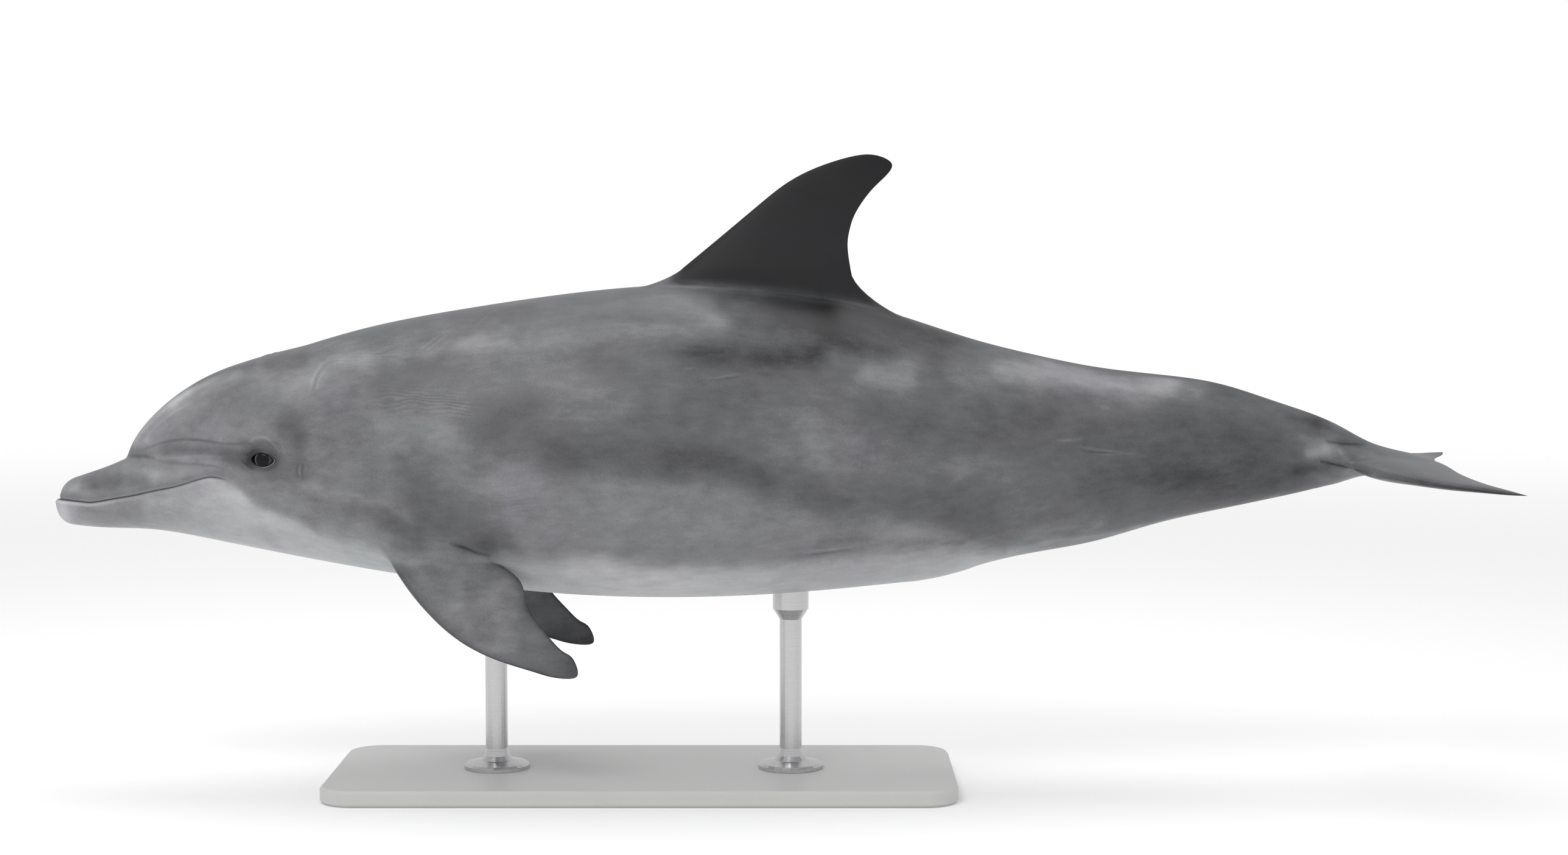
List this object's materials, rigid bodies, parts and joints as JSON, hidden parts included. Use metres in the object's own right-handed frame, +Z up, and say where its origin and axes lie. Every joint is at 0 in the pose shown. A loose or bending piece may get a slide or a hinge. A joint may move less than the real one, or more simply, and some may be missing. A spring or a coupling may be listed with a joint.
{
  "type": "bottlenose dolphin",
  "caption": "Life-size bottlenose dolphin in a level glide, with a short beak, hooked back fin, swept flippers and spread flukes, held over a flat display base by rods.",
  "frame": {"origin": "centre of the stand's flat underside, on the floor", "axes": "the dolphin swims towards -X, +Z is up, and its left side faces -Y"},
  "size_m": [2.6994, 0.6395, 1.1945],
  "materials": {
    "skin_grey": "smooth wet-looking skin",
    "skin_pale": "smooth wet-looking skin",
    "skin_dark": "smooth wet-looking skin",
    "eye": "polished",
    "stand_paint": "satin paint",
    "stand_steel": "brushed"
  },
  "bodies": {
    "root": {"beak_upper": "skin_grey", "jaw_lower": "skin_pale", "head": "skin_grey", "neck": "skin_grey", "chest": "skin_grey", "belly_and_back": "skin_grey", "loin": "skin_grey", "tail_stock_front": "skin_grey", "tail_stock_rear": "skin_grey", "fluke_left": "skin_grey", "fluke_right": "skin_grey", "dorsal_fin": "skin_dark", "flipper_left": "skin_grey", "flipper_right": "skin_grey", "eye_left": "eye", "eye_right": "eye", "stand_base": "stand_paint", "stand_rod_front": "stand_steel", "stand_rod_rear": "stand_steel"}
  },
  "joints": []
}
